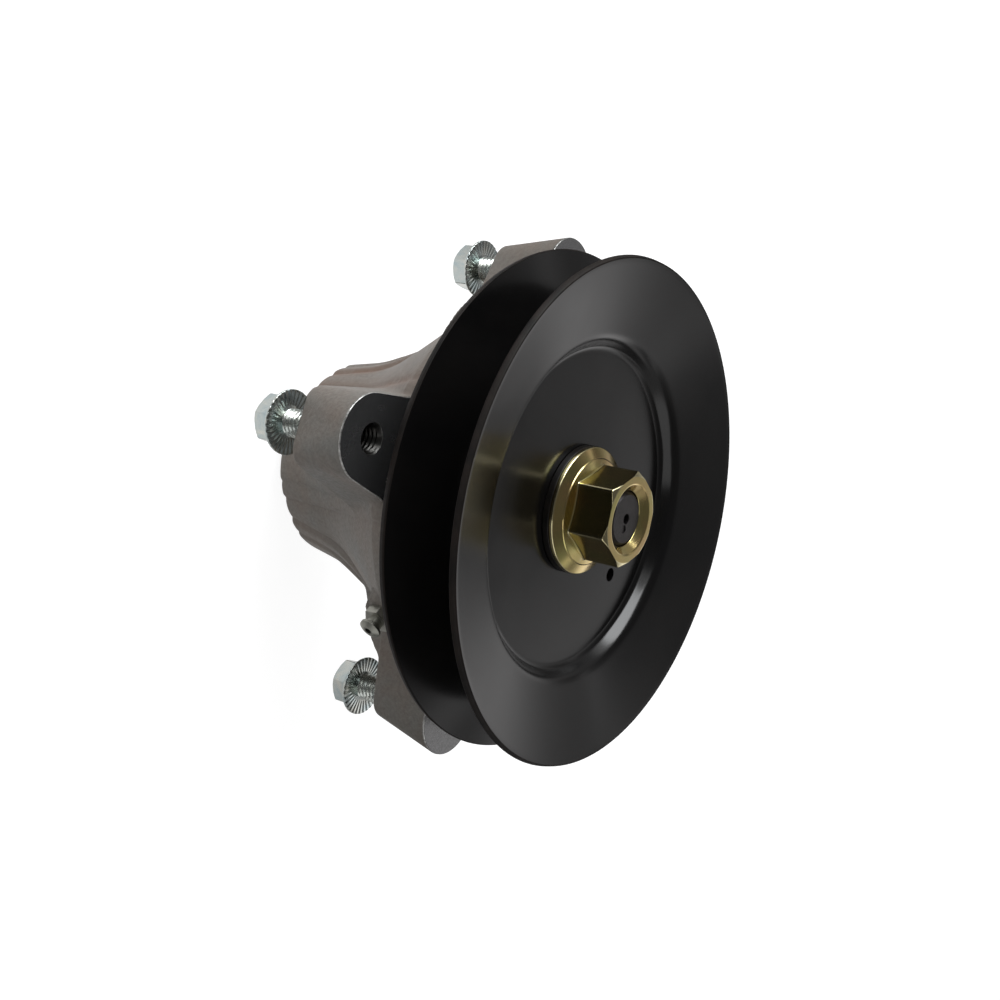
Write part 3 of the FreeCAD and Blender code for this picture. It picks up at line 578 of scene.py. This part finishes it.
# Pulley
# Two stampings of steel sheet, their flat webs face to face, painted semi-gloss black. Each is
# a web, a steep wall and a groove flank, with round bends and a soft cut edge.
sheet = 1.9
rim_radius = 73.0
flank_angle = math.radians(17.0)
shaft_hole_radius = 8.9
wall_foot = 46.8
wall_head = 49.2
foot_bend = 2.6
head_bend = 5.0
lip = 0.42


def stamped_half(name, web_face, rim_face, side):
    """A turned sheet: the line of its first skin runs out along the web, up the wall and out
    along the flank, with round corners, and the second skin lies one sheet off it, along its
    normal."""
    rim_inner = rim_radius - sheet * math.sin(flank_angle)
    wall_top = rim_face - side * (rim_inner - wall_head) * math.tan(flank_angle)
    heights = (web_face, web_face, wall_top, rim_face)
    corners = np.stack([(shaft_hole_radius, wall_foot, wall_head, rim_inner), heights], -1)
    bends = (None, foot_bend, head_bend, None)
    line = []
    for i, corner in enumerate(corners):
        if not bends[i]:
            line.append(corner)
            continue
        back = corners[i - 1] - corner
        ahead = corners[i + 1] - corner
        back /= np.hypot(*back)
        ahead /= np.hypot(*ahead)
        half = math.acos(np.dot(back, ahead)) / 2
        centre = corner + (back + ahead) / np.hypot(*(back + ahead)) * bends[i] / math.sin(half)
        spoke_in = corner + back * bends[i] / math.tan(half) - centre
        spoke_out = corner + ahead * bends[i] / math.tan(half) - centre
        cross = spoke_in[0] * spoke_out[1] - spoke_in[1] * spoke_out[0]
        sweep = math.atan2(cross, np.dot(spoke_in, spoke_out))
        for share in np.linspace(0.0, 1.0, 9):
            cosine = math.cos(sweep * share)
            sine = math.sin(sweep * share)
            spoke = (cosine * spoke_in[0] - sine * spoke_in[1], sine * spoke_in[0] + cosine * spoke_in[1])
            line.append(centre + spoke)
    line = np.array(line)
    lengths = np.concatenate([[0.0], np.cumsum(np.hypot(*np.diff(line, axis=0).T))])
    even = np.unique(np.concatenate([lengths, np.arange(0.0, lengths[-1], 2.4)]))
    line = np.stack([np.interp(even, lengths, line[:, 0]), np.interp(even, lengths, line[:, 1])], -1)
    along = np.gradient(line, axis=0)
    along /= np.hypot(*along.T)[:, None]
    across = side * np.stack([-along[:, 1], along[:, 0]], -1)
    under = line - across * sheet
    run = along[-1]
    down = across[-1]
    edge = []
    for corner, start, leave in ((line[-1], -run, -down), (under[-1], down, -run)):
        for t in np.linspace(0.0, 1.0, 6):
            edge.append(corner + (1 - t) ** 2 * start * lip + t * t * leave * lip)
    profile = np.vstack([line[:-1], edge, under[-2::-1]])
    if side > 0:
        profile = profile[::-1]
    columns = np.linspace(0.0, 2 * np.pi, 288, endpoint=False)
    radius = np.repeat(profile[:, :1], len(columns), axis=1)
    height = np.repeat(profile[:, 1:], len(columns), axis=1)
    return turned_skin(name, radius, height, columns)


def plain_pin(radius, low, high, axis):
    """A round cutter about an upright axis."""
    columns = np.linspace(0.0, 2 * np.pi, 40, endpoint=False)
    reach = np.array([0.0, radius, radius, 0.0])[:, None] + 0 * columns
    level = np.array([low, low, high, high])[:, None] + 0 * columns
    return turned_skin("pin", reach, level, columns, closed=False, axis=axis)


paint = grained_finish(
    "black paint", 0.0, (0.0022, 0.03),
    ("Soft", (0.0022, 0.0022, 0.0024), (0.0040, 0.0036, 0.0034)), ("Soft", 0.17, 0.24), ("Fine", 0.000002),
)
cut_edge = grained_finish(
    "scuffed edge", 0.0, (0.0012, 0.008),
    ("Soft", (0.004, 0.0034, 0.003), (0.013, 0.009, 0.007)), ("Fine", 0.50, 0.62),
)
cut_edge.node_tree.nodes["Principled BSDF"].inputs["Specular IOR Level"].default_value = 0.15

web_hole_radius = 2.1
web_hole_reach = 32.0
web_hole_turn = math.radians(-28.0)
web_hole_axis = (web_hole_reach * math.cos(web_hole_turn), web_hole_reach * math.sin(web_hole_turn))
front_half = stamped_half("front_stamping", 44.6, 56.2, 1)
rear_half = stamped_half("rear_stamping", 40.8, 31.7, -1)
for piece, node in ((front_half, "pulley_front_half"), (rear_half, "pulley_rear_half")):
    cut_away(piece, plain_pin(web_hole_radius, 38.0, 48.0, web_hole_axis))
    piece.data.set_sharp_from_angle(angle=math.radians(50))
    piece.data.materials.append(paint)
    piece.data.materials.append(cut_edge)
    centres = read_out(piece.data.polygons, "center")
    on_edge = np.hypot(centres[:, 0], centres[:, 1]) > (rim_radius - 0.9) * MM
    piece.data.polygons.foreach_set("material_index", on_edge.astype(np.int32))
    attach(piece, "spindle")
    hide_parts(node)

# Washer and flange nut
# A thick black washer, and a hexagon nut with a coned flange, plated in yellow zinc, whose
# colour drifts from straw to green and rose.
nut_bore = 8.04
washer_radius = 18.7
washer_base = 44.6
washer_top = 46.7
washer_columns = np.linspace(0.0, 2 * np.pi, 160, endpoint=False)
flat = 0 * washer_columns
washer_rows = soften([
    (nut_bore + flat, washer_base, 0.0),
    (washer_radius + flat, washer_base, 0.35),
    (washer_radius + flat, washer_top, 0.35),
    (nut_bore + flat, washer_top, 0.0),
])
washer = turned_skin("black_washer", *washer_rows, washer_columns)
oxide = grained_finish(
    "black oxide", 0.4, (0.0007, 0.005),
    ("Soft", (0.006, 0.0055, 0.005), (0.016, 0.013, 0.011)), ("Fine", 0.30, 0.42),
)
washer.data.materials.append(oxide)
washer.data.set_sharp_from_angle(angle=math.radians(50))
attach(washer, "spindle")
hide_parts("nut_washer")


def hexagon(angle, flats, first_corner, blend):
    """Polar radius of a hexagon: the nearest of its six flats, half the width over the cosine
    of the turn off that flat, with softened corners."""
    from_corner = np.mod(angle - first_corner, np.pi / 3)
    next_flat = np.where(from_corner < np.pi / 6, from_corner + np.pi / 6, from_corner - np.pi / 2)
    one = flats / 2 / np.cos(from_corner - np.pi / 6)
    other = flats / 2 / np.cos(next_flat)
    return soft_min(one, other, blend)


def hexagon_columns(first_corner, count):
    """Angles that crowd towards the six corners, as the sine of an even run does."""
    swing = np.sin(np.linspace(-np.pi / 2, np.pi / 2, count, endpoint=False)) * np.pi / 6
    return np.concatenate([first_corner + np.pi / 6 + i * np.pi / 3 + swing for i in range(6)])


nut_flats = 24.2
nut_corner = math.radians(35.5)
nut_top = 62.1
nut_mouth = 2.1
nut_shoulder = 12.45
flange_radius = 18.6
flange_edge = 1.2
chamfer_slope = math.tan(math.radians(30.0))
nut_columns = hexagon_columns(nut_corner, 36)
nut_wall = hexagon(nut_columns, nut_flats, nut_corner, 0.45)
nut_cone_rise = 50.45 - (nut_wall - nut_flats / 2) * 0.26
nut_end = np.minimum(nut_wall, nut_shoulder)
nut_drop = (nut_wall - nut_end) * chamfer_slope
flat = 0 * nut_columns
nut_rows = soften([
    (nut_bore + flat, washer_top, 0.0),
    (flange_radius + flat, washer_top, 0.3),
    (flange_radius + flat, washer_top + flange_edge, 0.45),
    (15.6 + flat, 49.25, 0.15),
    (15.3 + flat, 49.65, 0.15),
    (nut_wall, nut_cone_rise, 0.5),
    (nut_wall, nut_top - nut_drop - 0.02, 0.3),
    (nut_end, nut_top, 0.35),
    (nut_bore + nut_mouth + flat, nut_top, 0.35),
    (nut_bore + flat, nut_top - nut_mouth, 0.2),
])
nut = turned_skin("flange_nut", *nut_rows, nut_columns)

# A painted highlight: the corners and the chamfer of the hexagon and the flange's edge are coloured a paler
# gold, standing in for the light they catch
nut_reach, nut_level = nut_rows
off_chamfer = np.abs(nut_level - nut_top + (nut_reach - nut_shoulder) * chamfer_slope)
corner_highlight = soft_step((nut_reach - 13.45) / 0.4)
chamfer_highlight = soft_step(1.4 - off_chamfer / 0.3) * (nut_reach > nut_shoulder - 0.15)
flange_highlight = soft_step((nut_reach - 18.2) / 0.3) * (nut_level > 47.2)
edge_highlight = np.where(nut_level > 50.0, np.maximum(corner_highlight, chamfer_highlight), 0.0)
edge_highlight = np.maximum(edge_highlight, flange_highlight)
nut.data.attributes.new("edge", "FLOAT", "POINT").data.foreach_set("value", edge_highlight.ravel())

yellow_zinc, tree, shader, marks = new_finish("yellow zinc", 1.0, 0.0005, 0.006)
drift = wire(tree, "ShaderNodeGroup", {"Size": 0.003, "Blotch": 0.011}, node_tree=grain).outputs
straw = between_colours(tree, marks["Soft"], (0.57, 0.47, 0.175), (0.51, 0.48, 0.19))
rose = between_colours(tree, drift["Soft"], (0.48, 0.48, 0.175), (0.66, 0.38, 0.22))
plate = between_colours(tree, 0.5, straw, rose)
# The paler gold on the nut's edges is a painted highlight
highlight_share = wire(tree, "ShaderNodeAttribute", {}, attribute_name="edge").outputs["Fac"]
tint(tree, shader, highlight_share, plate, (0.64, 0.57, 0.34))
roughen(tree, shader, marks["Fine"], 0.13, 0.20)
nut.data.materials.append(yellow_zinc)
nut.data.set_sharp_from_angle(angle=math.radians(50))
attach(nut, "spindle")
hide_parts("pulley_nut")

# Deck bolts
# Four zinc plated flange bolts started in the ears from below, with a rolled thread, and
# serrations under the flange that bite into the deck sheet.
bolt_flats = 12.7
bolt_shoulder = 6.45
bolt_flange_radius = 8.95
head_height = 7.2
shank_length = 19.0
thread_minor = 3.2
thread_major = 3.96
tooth_count = 32
tooth_depth = 0.26


def deck_bolt(letter, gap):
    """From the pole of the head, out over the hexagon and the coned flange, in over the
    serrated face, and up the threaded shank to its point."""
    columns = np.linspace(0.0, 2 * np.pi, 6 * tooth_count, endpoint=False)
    flat = 0 * columns
    wall = hexagon(columns, bolt_flats, 0.0, 0.35)
    end = np.minimum(wall, bolt_shoulder)
    drop = (wall - end) * chamfer_slope
    tooth = np.mod(columns * tooth_count / (2 * np.pi), 1.0)
    notch = tooth_depth * np.where(tooth < 0.7, tooth / 0.7, (1.0 - tooth) / 0.3)
    head = [
        (flat, -6.9, 0.0),
        (4.2 + flat, -6.9, 0.4),
        (4.9 + flat, -head_height, 0.3),
        (end, -head_height, 0.3),
        (wall, -head_height + drop + 0.02, 0.2),
        (wall, -2.6 + (wall - bolt_flats / 2) * 0.6, 0.4),
        (bolt_flange_radius + flat, -0.9, 0.25),
        (bolt_flange_radius + flat, -0.15 - notch, 0.15),
        (8.6 + flat, -notch, 0.0),
        (6.6 + flat, -0.8 * notch, 0.0),
        (5.2 + flat, -0.45 * notch - 0.05, 0.0),
        (4.6 + flat, -0.2, 0.0),
    ]
    radius, height = soften(head, steps=3)
    run = np.linspace(0.25, shank_length, 96)[:, None]
    thread = thread_radius(columns, run, thread_minor, thread_major)
    thread = np.minimum(thread, 2.8 + (shank_length - run))
    radius = np.vstack([radius, thread, flat[None]])
    height = np.vstack([height, run + flat, shank_length + flat[None]])
    name = f"started_bolt_{letter}"
    return turned_skin(name, radius, height, columns, closed=False, axis=bolt_axis(letter), rise=-gap)


plated = grained_finish(
    "clear zinc", 1.0, (0.0004, 0.004),
    ("Soft", (0.40, 0.47, 0.48), (0.58, 0.58, 0.53)), ("Fine", 0.16, 0.24),
)
# The thread's finish is a little rougher than the head's, as a rolled surface is; its paler colour is
# painted light, standing in for light on the thread
thread_zinc_painted_paler = grained_finish(
    "rolled thread, painted paler", 1.0, (0.0004, 0.003),
    ("Soft", (0.50, 0.55, 0.53), (0.64, 0.65, 0.60)), ("Fine", 0.22, 0.30),
)
for letter, gap in bolt_gaps.items():
    bolt = deck_bolt(letter, gap)
    bolt.data.materials.append(plated)
    bolt.data.materials.append(thread_zinc_painted_paler)
    on_shank = read_out(bolt.data.polygons, "center")[:, 2] > (0.3 - gap) * MM
    bolt.data.polygons.foreach_set("material_index", on_shank.astype(np.int32))
    bolt.data.set_sharp_from_angle(angle=math.radians(38))
    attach(bolt, "housing")
    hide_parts(f"deck_bolt_{letter}")

# Stage
# A plain pale floor under the blade end, and soft lamps over it. Seen by the camera or in a
# reflection, the floor and the world are white, and the floor keeps the spindle's shadow.
floor_reach = 4
floor_height = -0.068
floor = bpy.data.objects.new("floor", bpy.data.meshes.new("floor"))
floor_signs = ((-1, -1), (1, -1), (1, 1), (-1, 1))
floor_corners = [(x * floor_reach, y * floor_reach, floor_height) for x, y in floor_signs]
floor.data.from_pydata(floor_corners, [], [(0, 1, 2, 3)])
bpy.context.scene.collection.objects.link(floor)


def seen_share(tree):
    """1 for camera, glossy and transmission rays, and 0 for all others."""
    path = tree.nodes.new("ShaderNodeLightPath").outputs
    share = path["Is Camera Ray"]
    for kind in ("Is Glossy Ray", "Is Transmission Ray"):
        share = wire(tree, "ShaderNodeMath", {0: share, 1: path[kind]}, operation="MAXIMUM").outputs[0]
    return share


floor_white = bpy.data.materials.new("floor white")
floor_white.use_nodes = True
tree = floor_white.node_tree
tree.nodes.clear()
matt = wire(tree, "ShaderNodeBsdfDiffuse", {"Color": (0.5, 0.5, 0.5, 1.0)})
glow = wire(tree, "ShaderNodeEmission", {"Color": (1.0, 1.0, 1.0, 1.0), "Strength": 0.82})
lit = wire(tree, "ShaderNodeAddShader", {0: matt.outputs[0], 1: glow.outputs[0]})
top_side = wire(tree, "ShaderNodeMixShader", {0: seen_share(tree), 1: matt.outputs[0], 2: lit.outputs[0]})
clear = wire(tree, "ShaderNodeBsdfTransparent", {})
facing = tree.nodes.new("ShaderNodeNewGeometry").outputs["Backfacing"]
sides = wire(tree, "ShaderNodeMixShader", {0: facing, 1: top_side.outputs[0], 2: clear.outputs[0]})
wire(tree, "ShaderNodeOutputMaterial", {"Surface": sides.outputs[0]})
floor.data.materials.append(floor_white)

world = bpy.data.worlds.new("studio")
world.use_nodes = True
tree = world.node_tree
tree.nodes.clear()
soft_air = wire(tree, "ShaderNodeBackground", {"Color": (1.0, 1.0, 1.0, 1.0), "Strength": 0.38})
white_air = wire(tree, "ShaderNodeBackground", {"Color": (1.0, 1.0, 1.0, 1.0), "Strength": 1.0})
both_airs = {0: seen_share(tree), 1: soft_air.outputs[0], 2: white_air.outputs[0]}
air = wire(tree, "ShaderNodeMixShader", both_airs)
wire(tree, "ShaderNodeOutputWorld", {"Surface": air.outputs[0]})
bpy.context.scene.world = world


def soft_lamp(name, place, width, power):
    """A square lamp at a place, facing the origin."""
    lamp = bpy.data.objects.new(name, bpy.data.lights.new(name, "AREA"))
    lamp.data.size = width
    lamp.data.energy = power
    lamp.data.color = (0.96, 0.98, 1.0)
    place = Vector(place)
    lamp.matrix_world = Matrix.Translation(place) @ (-place).to_track_quat("-Z", "Y").to_matrix().to_4x4()
    bpy.context.scene.collection.objects.link(lamp)


soft_lamp("key lamp", (-0.45, 1.15, 0.5), 1.0, 20.0)
soft_lamp("fill lamp", (-1.0, 0.35, 0.1), 0.7, 1.9)


def grey_card(name, places, level):
    """A flat card that only reflections show, with a grey level at each point of its grid."""
    rows, columns = level.shape
    card = bpy.data.objects.new(name, bpy.data.meshes.new(name))
    index = np.arange(rows * columns).reshape(rows, columns)
    faces = np.stack([index[:-1, :-1], index[:-1, 1:], index[1:, 1:], index[1:, :-1]], -1)
    card.data.from_pydata(places.reshape(-1, 3).tolist(), [], faces.reshape(-1, 4).tolist())
    card.data.attributes.new("level", "FLOAT", "POINT").data.foreach_set("value", level.ravel())
    card.visible_camera = card.visible_diffuse = card.visible_shadow = False
    shade = bpy.data.materials.new(name)
    shade.use_nodes = True
    tree = shade.node_tree
    tree.nodes.clear()
    grey = wire(tree, "ShaderNodeAttribute", {}, attribute_name="level").outputs["Fac"]
    glow = wire(tree, "ShaderNodeEmission", {"Color": (1.0, 0.985, 0.985, 1.0), "Strength": grey})
    wire(tree, "ShaderNodeOutputMaterial", {"Surface": glow.outputs[0]})
    card.data.materials.append(shade)
    bpy.context.scene.collection.objects.link(card)


# The far card darkens from one end to the other and upwards, and is darker still in three
# places: low in its middle, over its pale end, and high up where the web beside the nut
# mirrors it
run, rise = np.meshgrid(np.linspace(-1.35, 1.35, 37), np.linspace(-0.06, 1.12, 25))
across = 1.3 - 0.75 * soft_step((run + 0.3) / 0.9) - 0.27 * soft_step((run - 0.5) / 0.25)
upward = 1.1 - 0.68 * soft_step((rise - 0.35) / 0.45) + 0.13 * soft_step((rise - 0.95) / 0.2)
low_middle = (1.0 - soft_step((rise - 0.1) / 0.3)) * (1.0 - soft_step((np.abs(run - 0.06) - 0.1) / 0.15))
pale_end = soft_step((-0.35 - run) / 0.25) * (1.0 - soft_step((rise - 0.8) / 0.25))
high_middle = soft_step((rise - 0.82) / 0.06) * (1.0 - soft_step((np.abs(run - 0.11) - 0.1) / 0.1))
level = across * upward * (1.0 - 0.9 * low_middle) * (1.0 - 0.65 * pale_end) * (1.0 - 0.65 * high_middle)
grey_card("far card", np.stack([0 * run + 1.3, run, rise], -1), level)

# The card overhead and the one behind the camera are dark, and those at the two sides are grey
run, rise = np.meshgrid(np.linspace(-0.7, 1.3, 21), np.linspace(-1.35, 1.35, 19))
level = 0.10 + 0.12 * soft_step((run - 0.4) / 0.5) + 0.5 * soft_step((run - 1.0) / 0.2)
grey_card("top card", np.stack([run, rise, 0 * run + 1.1], -1), level)
run, rise = np.meshgrid(np.linspace(-0.55, 0.45, 5), np.linspace(0.1, 1.05, 5))
grey_card("near card", np.stack([-0.95 + 0.3 * rise, run, rise], -1), 0.08 + 0 * run)
run, rise = np.meshgrid(np.linspace(0.3, 1.3, 5), np.linspace(-0.06, 1.1, 5))
grey_card("high card", np.stack([run, 0 * run + 1.35, rise], -1), 0.30 + 0 * run)
grey_card("low card", np.stack([run, 0 * run - 1.35, rise], -1), 0.35 + 0 * run)

# On the floor the card is pale under the bolts, a little less so on the low side, and dark
# further out, where the rims of the pulley look
run, rise = np.meshgrid(np.linspace(-0.7, 0.7, 57), np.linspace(-0.7, 0.7, 57))
under = 1.0 - soft_step((np.hypot(run, rise) - 0.13) / 0.05)
low_side = soft_step(-rise / 0.04) * soft_step((run + 0.09) / 0.03)
grey_card("floor card", np.stack([run, rise, 0 * run - 0.067], -1), 0.08 + under * (0.92 - 0.35 * low_side))
bpy.context.scene.view_settings.view_transform = "Standard"
